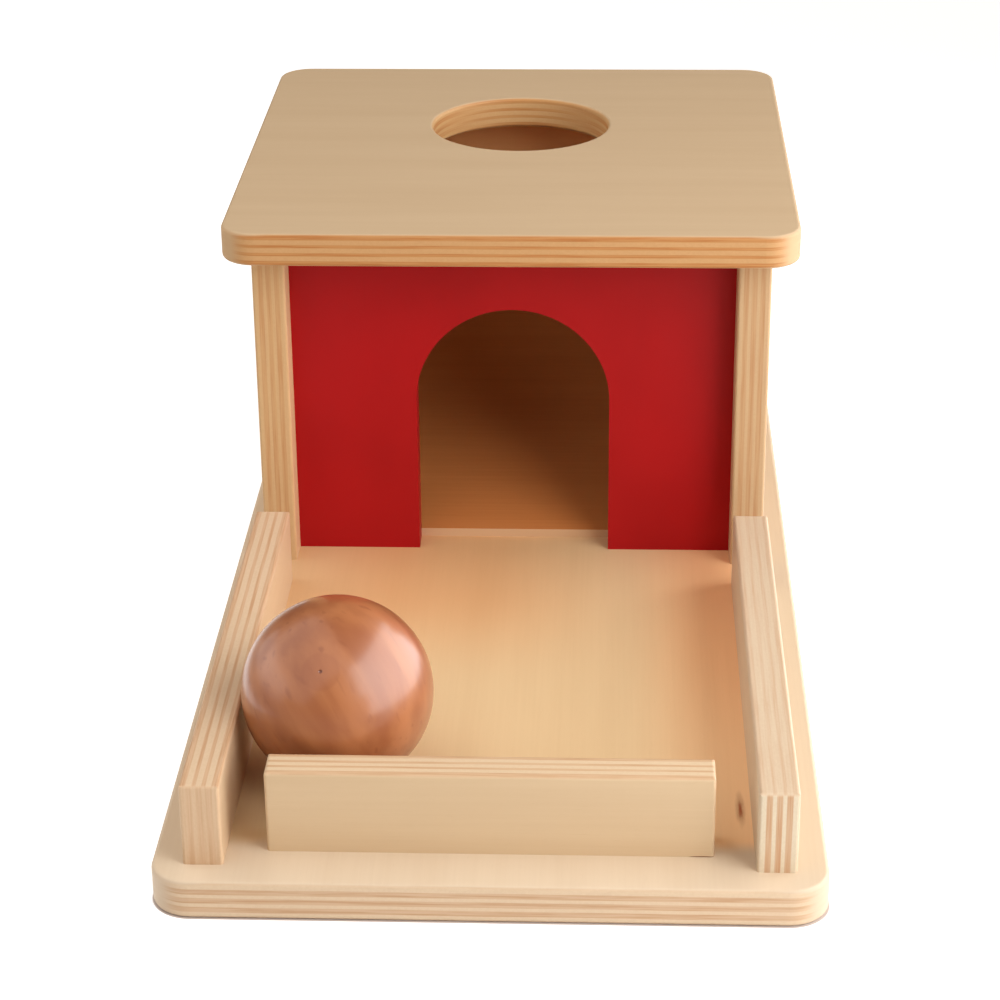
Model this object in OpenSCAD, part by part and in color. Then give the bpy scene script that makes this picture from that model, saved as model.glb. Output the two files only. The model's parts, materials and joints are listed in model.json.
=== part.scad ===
// Object permanence box with a tray: a ball dropped through the round hole lands on a ramp,
// rolls out of the arched doorway and comes to rest between the tray's rails.
// Millimetres, +Z up, origin at the middle of the base board's underside, front towards -Y.

/* [Ball] */
// Diameter of the turned wooden ball
ball_diameter = 53.4; // [48:0.2:60]
// Gap between the resting ball and the back face of the front rail
ball_rest_gap = 2.5; // [1:0.1:10]

/* [Tray] */
// Clear width between the two side rails, and between the two side walls
inside_width = 141.2; // [130:0.2:180]
// Thickness of the side rails and the front rail
rail_thickness = 10.8; // [8:0.1:14]
// Height of the rails above the base board
rail_height = 24; // [20:0.5:32]
// Length of a side rail, which stands free at both ends
rail_length = 169.2; // [140:0.2:220]
// Gap between a side rail's back end and the wall behind it
rail_gap = 13.3; // [4:0.1:20]
// Length of the front rail, which stops short of both side rails
front_rail_length = 119.4; // [90:0.2:125]
// Distance from the side rails' front ends back to the front rail's face
front_rail_setback = 7.1; // [0:0.1:20]

/* [Base board] */
// Thickness of the base board
base_thickness = 11; // [9:0.5:16]
// Strip of base board left outside each side rail
side_margin = 8.6; // [6:0.1:16]
// Strip of base board left in front of the side rails
front_margin = 9; // [6:0.1:16]
// Strip of base board left behind the box
rear_margin = 9.8; // [6:0.1:16]

/* [Box] */
// Thickness of the side walls and the back wall
wall_thickness = 10.4; // [8:0.1:13]
// Thickness of the painted front panel
panel_thickness = 9; // [8:0.5:13]
// Height of the walls between the base board and the top plate
wall_height = 107.2; // [100:0.2:130]
// Length of a side wall from front to back
wall_length = 158.7; // [140:0.1:210]
// Distance from the walls' front edges back to the front panel
panel_setback = 10.2; // [5:0.1:35]
// Height of the arched doorway above the base board
arch_height = 84; // [70:0.5:95]
// Room on each side of the ball in the doorway
arch_play = 4.3; // [2:0.1:8]

/* [Top plate] */
// Thickness of the top plate
top_thickness = 10.4; // [8:0.1:14]
// Overhang of the top plate beyond each side wall
top_side_overhang = 8; // [2:0.1:14]
// Overhang of the top plate beyond the walls' front edges
top_front_overhang = 14.8; // [0:0.1:24]
// Overhang of the top plate behind the box
top_rear_overhang = 9.8; // [2:0.1:14]
// Room all round the ball in the drop hole
hole_play = 3.2; // [2:0.1:8]
// Distance from the top plate's back edge to the middle of the drop hole
hole_from_back = 68; // [60:0.5:90]

/* [Edges] */
// Plan radius of the corners of the base board and the top plate
corner_radius = 11; // [4:0.5:16]
// Quarter-round along the edges of the base board, the top plate and the drop hole
plate_ease = 1.2; // [0.4:0.1:2.5]
// Quarter-round along the open edges of the rails and the walls
board_ease = 0.9; // [0.3:0.1:2]

/* [Ramp] */
// Slope of the ramp in degrees
ramp_angle = 15; // [8:1:20]
// Thickness of the ramp board
ramp_thickness = 2.7; // [2:0.1:5]
// Gap between the ramp and each side wall
ramp_side_gap = 0.5; // [0.2:0.1:2]
// Depth of the batten that carries the back of the ramp
batten_depth = 14; // [12:0.5:20]
// Height of the batten at its front face
batten_height = 16; // [12:0.5:18]

/* [Fasteners] */
// Length of the countersunk screws that come up through the base board
screw_length = 28; // [20:1:32]
// Length of the screws that hold the batten to the back wall
batten_screw_length = 19; // [17:0.5:20]
// Diameter of a screw's shank
screw_diameter = 3.5; // [3:0.5:4]
// Diameter of a countersunk screw head
screw_head_diameter = 7; // [6:0.5:8]
// Diameter of the beech dowels
dowel_diameter = 6; // [4:0.5:6.5]
// Length of the beech dowels
dowel_length = 24; // [18:1:30]
// Length of the panel pins in the ramp
pin_length = 14; // [10:0.5:16]

/* [Hidden] */
$fn = 96;

// Sides of the object, seen from the front
left = -1;
right = 1;

// How far every cutting tool runs past the face that it cuts
overrun = 1;
// Running gap under and beside the loose ball
ball_clearance = 0.25;
// Gap round a screw, a dowel or a pin in its hole
fastener_clearance = 0.1;
// Room left at the bottom of a blind hole
hole_bottom_gap = 0.4;
// Wood left at the bottom of a blind dowel hole
dowel_cover = 3;
// Bevel at both ends of a dowel
dowel_bevel = 0.8;
// Depth of the screw heads below the wood that they sit in
head_recess = 0.4;
// Straight rim of a screw head
head_rim = 0.3;
// Length of a screw's point
screw_point = 4;
// Cross recess of a screw head: its span, the width of its arms and its depth
cross_span = 4.2;
cross_width = 1;
cross_depth = 1.3;
// Panel pins: shank, head and point
pin_diameter = 1.4;
pin_head_diameter = 2.6;
pin_head_height = 0.8;
pin_point = 2;

// Places of the fasteners, as shares of the piece that they hold
wall_screw_shares = [0.12, 0.5, 0.88];
rail_screw_shares = [0.1, 0.5, 0.9];
front_rail_screw_shares = [-0.36, 0.36];
back_wall_screw_shares = [-0.3, 0.3];
wall_dowel_shares = [0.3, 0.78];
back_dowel_shares = [-0.36, 0.36];
side_dowel_shares = [0.3, 0.72];
batten_screw_shares = [-0.2, 0.2];
ramp_pin_shares = [-0.38, 0, 0.38];
// Place of the pins across the batten, measured from the back wall
pin_row_share = 0.65;

// Board sizes that follow from the tray and the box
ball_radius = ball_diameter / 2;
arch_width = ball_diameter + 2 * arch_play;
hole_radius = ball_radius + hole_play;
inside_half = inside_width / 2;
base_width = inside_width + 2 * rail_thickness + 2 * side_margin;
base_depth = front_margin + rail_length + rail_gap + wall_length + rear_margin;
top_width = inside_width + 2 * wall_thickness + 2 * top_side_overhang;
top_depth = top_front_overhang + wall_length + top_rear_overhang;

// Planes of the boards, from front to back and from the ground up
base_front_y = -base_depth / 2;
rail_front_y = base_front_y + front_margin;
wall_front_y = rail_front_y + rail_length + rail_gap;
wall_back_y = wall_front_y + wall_length;
back_inner_y = wall_back_y - wall_thickness;
back_middle_y = wall_back_y - wall_thickness / 2;
panel_front_y = wall_front_y + panel_setback;
panel_middle_y = panel_front_y + panel_thickness / 2;
panel_back_y = panel_front_y + panel_thickness;
front_rail_front_y = rail_front_y + front_rail_setback;
front_rail_middle_y = front_rail_front_y + rail_thickness / 2;
front_rail_back_y = front_rail_front_y + rail_thickness;
top_back_y = wall_back_y + top_rear_overhang;
top_middle_y = top_back_y - top_depth / 2;
hole_y = top_back_y - hole_from_back;
top_underside_z = base_thickness + wall_height;
wall_middle_x = inside_half + wall_thickness / 2;
rail_middle_x = inside_half + rail_thickness / 2;

// Depth of a dowel in the top plate and in a side wall
plate_dowel_sunk = top_thickness - dowel_cover - hole_bottom_gap;
wall_dowel_sunk = wall_thickness - dowel_cover - hole_bottom_gap;

// Resting place of the ball, in the front left corner of the tray
ball_x = -(inside_half - ball_radius - ball_clearance);
ball_y = front_rail_back_y + ball_rest_gap + ball_radius;
ball_z = base_thickness + ball_radius + ball_clearance;

// Heights on the ramp, which starts at the back of the front panel
ramp_rise_share = tan(ramp_angle);
ramp_upright = ramp_thickness / cos(ramp_angle);
batten_front_y = back_inner_y - batten_depth;
pin_y = back_inner_y - batten_depth * pin_row_share;

function ramp_underside_z(y) = base_thickness + (y - panel_back_y) * ramp_rise_share;

batten_bottom_z = ramp_underside_z(batten_front_y) - batten_height;
batten_screw_z = batten_bottom_z + batten_height / 2;

// Rectangle from the origin with chosen corners rounded.
// corners holds one flag each for left bottom, right bottom, right top and left top.
module eased_rectangle(width, height, ease, corners) {
    difference() {
        square([width, height]);
        if (corners[0])
            corner_waste(ease);
        if (corners[1])
            translate([width, 0]) mirror([1, 0]) corner_waste(ease);
        if (corners[2])
            translate([width, height]) mirror([1, 0]) mirror([0, 1]) corner_waste(ease);
        if (corners[3])
            translate([0, height]) mirror([0, 1]) corner_waste(ease);
    }
}

// What a quarter-round takes off a corner at the origin
module corner_waste(ease) {
    difference() {
        translate([-overrun, -overrun]) square(ease + overrun);
        translate([ease, ease]) circle(ease);
    }
}

// Lays a drawing in the XZ plane and gives it a depth along Y, from y = 0 backwards
module extrude_back(depth) {
    translate([0, depth, 0]) rotate([90, 0, 0]) linear_extrude(depth) children();
}

// Lays a drawing in the YZ plane and gives it a width along X, centred on x = 0
module extrude_across(width) {
    rotate([90, 0, 90]) linear_extrude(width, center = true) children();
}

// Board lying flat, centred, with round plan corners and a quarter-round along every edge
module eased_plate(width, depth, thickness) {
    all_corners = [true, true, true, true];
    rim_corners = [false, true, true, false];
    run_x = width - 2 * corner_radius;
    run_y = depth - 2 * corner_radius;
    translate([-width / 2, -run_y / 2, 0])
        extrude_back(run_y) eased_rectangle(width, thickness, plate_ease, all_corners);
    translate([0, -depth / 2, 0])
        extrude_across(run_x) eased_rectangle(depth, thickness, plate_ease, all_corners);
    for (x = [left, right], y = [-1, 1])
        translate([x * run_x / 2, y * run_y / 2, 0])
            rotate_extrude() eased_rectangle(corner_radius, thickness, plate_ease, rim_corners);
}

// Cutter for a round hole through a plate, flared by a quarter-round at both faces
module eased_hole(radius, thickness) {
    rotate_extrude() {
        translate([0, -overrun]) square([radius, thickness + 2 * overrun]);
        translate([radius, 0]) hole_flare();
        translate([radius, thickness]) mirror([0, 1]) hole_flare();
    }
}

// Drawing of the flare at one face of a hole
module hole_flare() {
    difference() {
        translate([-overrun, -overrun]) square(plate_ease + overrun);
        translate([plate_ease, plate_ease]) circle(plate_ease);
    }
}

// Screw standing on its head, or the hole for it when grown by a clearance
module screw_shape(length, grow) {
    head_radius = screw_head_diameter / 2 + grow;
    shank_radius = screw_diameter / 2 + grow;
    taper = head_radius - shank_radius;
    rotate_extrude()
        polygon([
            [0, 0],
            [head_radius, 0],
            [head_radius, head_rim],
            [shank_radius, head_rim + taper],
            [shank_radius, length - screw_point],
            [0, length + grow]
        ]);
}

// Countersunk wood screw with a cross recess
module screw(length) {
    difference() {
        screw_shape(length, 0);
        for (turn = [0, 90])
            rotate([0, 0, turn])
                translate([-cross_span / 2, -cross_width / 2, -overrun])
                    cube([cross_span, cross_width, cross_depth + overrun]);
    }
}

// Countersunk hole for a screw, open below the head
module screw_hole(length) {
    screw_shape(length, fastener_clearance);
    translate([0, 0, -head_recess - overrun])
        cylinder(r = screw_head_diameter / 2 + fastener_clearance, h = head_recess + overrun);
}

// Dowel along +Z with bevelled ends; its joint plane is at z = 0 and it is sunk below it
module dowel(sunk) {
    radius = dowel_diameter / 2;
    translate([0, 0, -sunk])
        rotate_extrude()
            polygon([
                [0, 0],
                [radius - dowel_bevel, 0],
                [radius, dowel_bevel],
                [radius, dowel_length - dowel_bevel],
                [radius - dowel_bevel, dowel_length],
                [0, dowel_length]
            ]);
}

// Hole for a dowel, through both of the boards that it joins
module dowel_hole(sunk) {
    translate([0, 0, -sunk - hole_bottom_gap])
        cylinder(d = dowel_diameter + 2 * fastener_clearance, h = dowel_length + 2 * hole_bottom_gap);
}

// Panel pin driven down from z = 0, or the tight hole for it when grown by a clearance
module pin_shape(grow) {
    shank_radius = pin_diameter / 2 + grow;
    head_radius = pin_head_diameter / 2 + grow;
    rotate_extrude()
        polygon([
            [0, 0],
            [head_radius, 0],
            [head_radius, -pin_head_height],
            [shank_radius, -pin_head_height],
            [shank_radius, pin_point - pin_length],
            [0, -pin_length - grow]
        ]);
}

// Hole for a panel pin, open above its head
module pin_hole() {
    pin_shape(fastener_clearance);
    translate([0, 0, -pin_head_height])
        cylinder(d = pin_head_diameter + 2 * fastener_clearance, h = pin_head_height + overrun);
}

// Places of the screws under one side wall
module wall_screw_places(side) {
    for (share = wall_screw_shares)
        translate([side * wall_middle_x, wall_front_y + share * wall_length, head_recess]) children();
}

// Places of the screws under one side rail
module rail_screw_places(side) {
    for (share = rail_screw_shares)
        translate([side * rail_middle_x, rail_front_y + share * rail_length, head_recess]) children();
}

// Places of the screws under the front rail
module front_rail_screw_places() {
    for (share = front_rail_screw_shares)
        translate([share * front_rail_length, front_rail_middle_y, head_recess]) children();
}

// Places of the screws under the back wall
module back_wall_screw_places() {
    for (share = back_wall_screw_shares)
        translate([share * inside_width, back_middle_y, head_recess]) children();
}

// Places of the screws under the front panel, one in the middle of each leg
module panel_screw_places() {
    leg_middle_x = (inside_half + arch_width / 2) / 2;
    for (side = [left, right])
        translate([side * leg_middle_x, panel_middle_y, head_recess]) children();
}

// Places of the screws that run from the batten's face into the back wall
module batten_screw_places() {
    for (share = batten_screw_shares)
        translate([share * inside_width, batten_front_y + head_recess, batten_screw_z])
            rotate([-90, 0, 0]) children();
}

// Places of the dowels between the top plate and one side wall
module wall_dowel_places(side) {
    for (share = wall_dowel_shares)
        translate([side * wall_middle_x, wall_front_y + share * wall_length, top_underside_z])
            mirror([0, 0, 1]) children();
}

// Places of the dowels between the top plate and the back wall
module back_dowel_places() {
    for (share = back_dowel_shares)
        translate([share * inside_width, back_middle_y, top_underside_z])
            mirror([0, 0, 1]) children();
}

// Places of the dowels between one side wall and a cross board whose middle is at y
module side_dowel_places(side, y) {
    for (share = side_dowel_shares)
        translate([side * inside_half, y, base_thickness + share * wall_height])
            rotate([0, -side * 90, 0]) children();
}

// Places of the panel pins, square to the ramp
module pin_places() {
    for (share = ramp_pin_shares)
        translate([share * inside_width, pin_y, ramp_underside_z(pin_y) + ramp_upright])
            rotate([ramp_angle, 0, 0]) children();
}

// Base board: the floor of the tray and of the box
module base_board() {
    color("NavajoWhite")
        difference() {
            eased_plate(base_width, base_depth, base_thickness);
            for (side = [left, right]) {
                wall_screw_places(side) screw_hole(screw_length);
                rail_screw_places(side) screw_hole(screw_length);
            }
            front_rail_screw_places() screw_hole(screw_length);
            back_wall_screw_places() screw_hole(screw_length);
            panel_screw_places() screw_hole(screw_length);
        }
}

// Side wall: its front edges and its outer back edge are eased, the rest is glued
module side_wall(side) {
    mirror_x = side == left ? 1 : 0;
    outline_corners = [true, true, true, false];
    color("BurlyWood")
        difference() {
            mirror([mirror_x, 0, 0])
                translate([inside_half, wall_front_y, base_thickness])
                    linear_extrude(wall_height)
                        eased_rectangle(wall_thickness, wall_length, board_ease, outline_corners);
            wall_screw_places(side) screw_hole(screw_length);
            wall_dowel_places(side) dowel_hole(plate_dowel_sunk);
            side_dowel_places(side, panel_middle_y) dowel_hole(wall_dowel_sunk);
            side_dowel_places(side, back_middle_y) dowel_hole(wall_dowel_sunk);
        }
}

// Back wall, set between the side walls and flush with their back edges
module back_wall() {
    color("BurlyWood")
        difference() {
            translate([-inside_half, back_inner_y, base_thickness])
                cube([inside_width, wall_thickness, wall_height]);
            back_wall_screw_places() screw_hole(screw_length);
            back_dowel_places() dowel_hole(plate_dowel_sunk);
            for (side = [left, right])
                side_dowel_places(side, back_middle_y) dowel_hole(wall_dowel_sunk);
            batten_screw_places() screw_hole(batten_screw_length);
        }
}

// Outline of the arched doorway: straight legs under a half round
module arch_outline() {
    spring = arch_height - arch_width / 2;
    translate([-arch_width / 2, -overrun]) square([arch_width, spring + overrun]);
    translate([0, spring]) circle(d = arch_width);
}

// Painted front panel with the arched doorway that the ball rolls out of
module front_panel() {
    color("FireBrick")
        difference() {
            translate([0, panel_front_y, base_thickness])
                extrude_back(panel_thickness)
                    difference() {
                        translate([-inside_half, 0]) square([inside_width, wall_height]);
                        arch_outline();
                    }
            panel_screw_places() screw_hole(screw_length);
            for (side = [left, right])
                side_dowel_places(side, panel_middle_y) dowel_hole(wall_dowel_sunk);
        }
}

// Top plate with the round drop hole behind its middle
module top_plate() {
    color("BurlyWood")
        difference() {
            translate([0, top_middle_y, top_underside_z])
                eased_plate(top_width, top_depth, top_thickness);
            translate([0, hole_y, top_underside_z]) eased_hole(hole_radius, top_thickness);
            for (side = [left, right])
                wall_dowel_places(side) dowel_hole(plate_dowel_sunk);
            back_dowel_places() dowel_hole(plate_dowel_sunk);
        }
}

// Rail lying along X, centred, with all upright edges and all top edges eased
module rail_bar(length) {
    all_corners = [true, true, true, true];
    top_corners = [false, false, true, true];
    front = -rail_thickness / 2;
    intersection() {
        translate([-length / 2, front, 0])
            linear_extrude(rail_height)
                eased_rectangle(length, rail_thickness, board_ease, all_corners);
        translate([-length / 2, front, 0])
            extrude_back(rail_thickness)
                eased_rectangle(length, rail_height, board_ease, top_corners);
        translate([0, front, 0])
            extrude_across(length)
                eased_rectangle(rail_thickness, rail_height, board_ease, top_corners);
    }
}

// Side rail of the tray, which stops short of the wall behind it
module side_rail(side) {
    color("BurlyWood")
        difference() {
            translate([side * rail_middle_x, rail_front_y + rail_length / 2, base_thickness])
                rotate([0, 0, 90]) rail_bar(rail_length);
            rail_screw_places(side) screw_hole(screw_length);
        }
}

// Front rail of the tray, which stops short of both side rails
module front_rail() {
    color("Wheat")
        difference() {
            translate([0, front_rail_middle_y, base_thickness]) rail_bar(front_rail_length);
            front_rail_screw_places() screw_hole(screw_length);
        }
}

// Thin ramp with upright-cut ends, from the back of the front panel up to the back wall
module ramp_board() {
    color("Tan")
        difference() {
            extrude_across(inside_width - 2 * ramp_side_gap)
                polygon([
                    [panel_back_y, ramp_underside_z(panel_back_y)],
                    [back_inner_y, ramp_underside_z(back_inner_y)],
                    [back_inner_y, ramp_underside_z(back_inner_y) + ramp_upright],
                    [panel_back_y, ramp_underside_z(panel_back_y) + ramp_upright]
                ]);
            pin_places() pin_hole();
        }
}

// Batten across the back wall, planed to the ramp's slope
module ramp_batten() {
    color("Tan")
        difference() {
            extrude_across(inside_width - 2 * ramp_side_gap)
                polygon([
                    [batten_front_y, batten_bottom_z],
                    [back_inner_y, batten_bottom_z],
                    [back_inner_y, ramp_underside_z(back_inner_y)],
                    [batten_front_y, ramp_underside_z(batten_front_y)]
                ]);
            pin_places() pin_hole();
            batten_screw_places() screw_hole(batten_screw_length);
        }
}

// Loose ball, lying in the front left corner of the tray
module ball() {
    color("Peru") translate([ball_x, ball_y, ball_z]) sphere(d = ball_diameter);
}

// Screws up through the base board, in groups by the board that they hold
module wall_screws(side) {
    color("Silver") wall_screw_places(side) screw(screw_length);
}

module rail_screws(side) {
    color("Silver") rail_screw_places(side) screw(screw_length);
}

module back_wall_screws() {
    color("Silver") back_wall_screw_places() screw(screw_length);
}

module front_panel_screws() {
    color("Silver") panel_screw_places() screw(screw_length);
}

module front_rail_screws() {
    color("Silver") front_rail_screw_places() screw(screw_length);
}

// Screws through the batten into the back wall
module batten_screws() {
    color("Silver") batten_screw_places() screw(batten_screw_length);
}

// Dowels between the top plate and the three walls under it
module top_plate_dowels() {
    color("Wheat") {
        for (side = [left, right])
            wall_dowel_places(side) dowel(plate_dowel_sunk);
        back_dowel_places() dowel(plate_dowel_sunk);
    }
}

// Dowels between the side walls and a cross board whose middle is at y
module cross_dowels(y) {
    color("Wheat")
        for (side = [left, right])
            side_dowel_places(side, y) dowel(wall_dowel_sunk);
}

// Panel pins through the back of the ramp into the batten
module ramp_pins() {
    color("Silver") pin_places() pin_shape(0);
}

base_board();
side_wall(left);  // left_wall
side_wall(right);  // right_wall
back_wall();
front_panel();
top_plate();
side_rail(left);  // left_rail
side_rail(right);  // right_rail
front_rail();
ramp_board();
ramp_batten();
ball();
wall_screws(left);  // left_wall_screws
wall_screws(right);  // right_wall_screws
back_wall_screws();
front_panel_screws();
rail_screws(left);  // left_rail_screws
rail_screws(right);  // right_rail_screws
front_rail_screws();
batten_screws();
top_plate_dowels();
cross_dowels(back_middle_y);  // back_wall_dowels
cross_dowels(panel_middle_y);  // front_panel_dowels
ramp_pins();
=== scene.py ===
# %% [markdown]
# # Dressing a plywood ball-drop box
# The object is a toddler's toy: a plywood box with a round hole in its lid, a red panel with an
# arched doorway, and a tray with rails where the wooden ball comes to rest. The solids are made
# already, so this lesson is about looks: finishes built from nodes, one finer mesh, and light.

import json
import math

import bmesh
import bpy
from mathutils import Matrix, Vector, noise


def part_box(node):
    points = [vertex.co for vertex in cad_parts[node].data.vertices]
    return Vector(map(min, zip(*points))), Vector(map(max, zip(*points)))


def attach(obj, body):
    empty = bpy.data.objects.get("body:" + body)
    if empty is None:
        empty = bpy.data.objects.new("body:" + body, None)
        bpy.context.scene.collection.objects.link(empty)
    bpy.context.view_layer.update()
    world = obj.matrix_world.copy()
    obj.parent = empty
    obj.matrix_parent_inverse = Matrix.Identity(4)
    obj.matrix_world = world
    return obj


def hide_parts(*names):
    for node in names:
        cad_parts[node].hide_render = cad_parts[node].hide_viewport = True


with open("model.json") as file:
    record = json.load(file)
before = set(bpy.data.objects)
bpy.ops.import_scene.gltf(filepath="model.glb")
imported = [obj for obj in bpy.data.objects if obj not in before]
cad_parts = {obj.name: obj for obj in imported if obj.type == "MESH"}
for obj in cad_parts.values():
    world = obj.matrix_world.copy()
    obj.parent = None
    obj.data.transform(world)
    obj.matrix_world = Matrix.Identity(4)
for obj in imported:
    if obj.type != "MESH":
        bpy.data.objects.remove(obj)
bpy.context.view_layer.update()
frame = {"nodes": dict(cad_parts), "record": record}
solids = frame["nodes"]

# %% [markdown]
# ## Camera
# The picture was taken from in front and a little above with a long lens, so the sides of the
# box run nearly parallel. A camera could be aimed at a target, but its place, tilt and lens
# were worked out from the box's own straight edges, so they are set as plain numbers.

# %% Set up the camera
mm = 0.001
camera_place = Vector((29.4, -766.6, 397.1)) * mm
camera_tilt_down = math.radians(25.036)
camera_turn = math.radians(2.456)
camera_roll = math.radians(-0.521)
camera_lens = 95.8

scene = bpy.context.scene
scene.view_settings.view_transform = "Standard"
camera = bpy.data.objects.new("camera", bpy.data.cameras.new("camera"))
scene.collection.objects.link(camera)
upright = math.radians(90)
look = Matrix.Rotation(camera_turn, 4, "Z") @ Matrix.Rotation(upright - camera_tilt_down, 4, "X")
camera.matrix_world = Matrix.Translation(camera_place) @ look @ Matrix.Rotation(camera_roll, 4, "Z")
camera.data.lens = camera_lens
scene.camera = camera
print("camera at", tuple(camera_place), "with a lens of", camera_lens, "mm")

# %% [markdown]
# ## Helpers for finishes
# Every finish here is a small graph of nodes. Wiring nodes by hand takes four lines each, so
# these helpers make a node, set its inputs and hand back its output in one call. An input that
# is given a socket is linked to it, and anything else is written into it as a fixed value.

# %% Make a node and fill its inputs
def add_node(tree, kind, inputs=None, **settings):
    node = tree.nodes.new(kind)
    for name, value in settings.items():
        setattr(node, name, value)
    for key, value in (inputs or {}).items():
        socket = node.inputs[key]
        if isinstance(value, bpy.types.NodeSocket):
            tree.links.new(value, socket)
        else:
            socket.default_value = value
    return node


# %% Sums and steps in one call each
def maths(tree, operation, *values):
    return add_node(tree, "ShaderNodeMath", dict(enumerate(values)), operation=operation).outputs[0]


def vector_maths(tree, operation, *values):
    return add_node(tree, "ShaderNodeVectorMath", dict(enumerate(values)), operation=operation).outputs


def dot(tree, vector, direction):
    return vector_maths(tree, "DOT_PRODUCT", vector, direction)["Value"]


def weighed(tree, first, first_share, second):
    """The sum of two values, of which the first has this share and the second the rest."""
    rest = maths(tree, "MULTIPLY", second, 1 - first_share)
    return maths(tree, "MULTIPLY_ADD", first, first_share, rest)


def ease(tree, value, start, end):
    """A smooth step from 0 at start to 1 at end."""
    inputs = {"Value": value, "From Min": start, "From Max": end}
    return add_node(tree, "ShaderNodeMapRange", inputs, interpolation_type="SMOOTHSTEP").outputs[0]


def rescale(tree, value, low, high):
    """Takes a value between 0 and 1 to one between low and high."""
    inputs = {"Value": value, "To Min": low, "To Max": high}
    return add_node(tree, "ShaderNodeMapRange", inputs).outputs[0]


# %% Blends, tints and noise in one call each
def blend(tree, share, first, second):
    """A colour on the way from the first to the second."""
    mix = add_node(tree, "ShaderNodeMix", {0: share, 6: first, 7: second}, data_type="RGBA")
    return mix.outputs[2]


def tint_by(tree, share, colour, tint):
    """A colour multiplied by a tint, as far as the share goes."""
    inputs = {0: share, 6: colour, 7: tint}
    return add_node(tree, "ShaderNodeMix", inputs, data_type="RGBA", blend_type="MULTIPLY").outputs[2]


def cloud(tree, vector, detail=2.0, roughness=0.5):
    """Soft noise between 0 and 1, one unit of the vector to a blob."""
    inputs = {"Vector": vector, "Scale": 1.0, "Detail": detail, "Roughness": roughness}
    return add_node(tree, "ShaderNodeTexNoise", inputs).outputs[0]


# %% Where the shaded point lies
def point(tree):
    return add_node(tree, "ShaderNodeTexCoord").outputs["Object"]


def point_axes(tree):
    """The point's distances along x, y and z."""
    return add_node(tree, "ShaderNodeSeparateXYZ", {0: point(tree)}).outputs


def surface_normal(tree):
    return add_node(tree, "ShaderNodeTexCoord").outputs["Normal"]


# %% Colours as they look on a screen
def screen(red, green, blue):
    """A colour from its screen values of 0 to 255, turned into the linear values that light uses."""
    shares = [value / 255 for value in (red, green, blue)]
    linear = [s / 12.92 if s <= 0.04045 else ((s + 0.055) / 1.055) ** 2.4 for s in shares]
    return (*linear, 1.0)


def browner(colour, share):
    """A darker tone of a wood colour: red keeps more of its strength than green, and green than blue."""
    red, green, blue, alpha = colour
    return (red * share, green * share ** 1.4, blue * share ** 1.8, alpha)


# %% Start and end a finish
def new_finish(name):
    material = bpy.data.materials.new(name)
    material.use_nodes = True
    material.node_tree.nodes.clear()
    return material, material.node_tree


def close_finish(tree, colour, roughness, height, relief, **fixed):
    """Ends a graph in the surface shader, with a relief in millimetres under it."""
    depth = relief * mm
    bump = add_node(tree, "ShaderNodeBump", {"Height": height, "Strength": 1.0, "Distance": depth})
    inputs = {"Base Color": colour, "Roughness": roughness, "Normal": bump.outputs[0]}
    inputs.update({name.replace("_", " "): value for name, value in fixed.items()})
    shader = add_node(tree, "ShaderNodeBsdfPrincipled", inputs)
    add_node(tree, "ShaderNodeOutputMaterial", {"Surface": shader.outputs[0]})


def dress(solid, material):
    mesh = solids[solid].data
    mesh.materials.clear()
    mesh.materials.append(material)


# %% [markdown]
# ## Plywood
# The boards are birch plywood of seven plies under a satin lacquer. A ply shows pale where the
# saw cut across its grain and brown where it cut along it, so the edges are striped, and the
# stripes swap over from one side of a board to the next. A picture of plywood would have to be
# unwrapped on every board. Here the stripes come from how deep a point lies in the board, and
# pale or brown from which way the surface faces, so every corner is right without unwrapping.

# %% Where a point lies on a board
def grain_space(tree, board_axes, size, shift):
    """The point in units of a size in millimetres: along the grain, across it and through the board."""
    lengths = dict(zip(board_axes, size))
    stretch = [1 / (lengths[axis] * mm) for axis in "xyz"]
    return vector_maths(tree, "MULTIPLY_ADD", point(tree), stretch, (shift, 2 * shift, 3 * shift))[0]


def facing(tree, axis):
    """How squarely the surface faces along an axis, from 0 to 1, whichever way round."""
    direction = [1.0 if axis == name else 0.0 for name in "xyz"]
    amount = dot(tree, surface_normal(tree), direction)
    return maths(tree, "MULTIPLY", amount, amount)


# %% How deep a point lies, counted in plies
sheet_plies = 7
outer_ply_extra = 0.55
outer_ply_middle = 0.5
ply_wobble = 0.12
ply_bend_size = (26, 26, 9)


def ply_count(tree, board, axes, shift):
    """Counts the plies from one face to the other; sanding leaves the two outer ones a bit thicker."""
    low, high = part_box(board)
    depth_axis = "xyz".index(axes[2])
    depth = point_axes(tree)[depth_axis]
    per_metre = (sheet_plies + 2 * outer_ply_extra) / (high[depth_axis] - low[depth_axis])
    below = maths(tree, "SUBTRACT", depth, low[depth_axis])
    count = maths(tree, "MULTIPLY_ADD", below, per_metre, -outer_ply_extra)
    bends = cloud(tree, grain_space(tree, axes, ply_bend_size, shift))
    wobble = maths(tree, "MULTIPLY_ADD", bends, 2 * ply_wobble, -ply_wobble)
    inner = maths(tree, "MAXIMUM", maths(tree, "ADD", count, wobble), outer_ply_middle)
    return maths(tree, "MINIMUM", inner, sheet_plies - outer_ply_middle)


# %% [markdown]
# A sine of the ply count swings once up and once down over two plies, so it tells the plies
# that run with the face from those that run across. How far pale and brown stand apart is set
# for each board, once for its long edges and once for its ends.

# %% The striped edges
face_ply_narrower = 0.32
stripe_softness = 0.4
streak_size = (22, 22, 0.6)
streak_limits = (0.3, 0.62)
speckle_size = (0.9, 0.9, 0.6)
speckle_limits = (0.2, 0.8)
speckle_tone_share = 0.95


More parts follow.
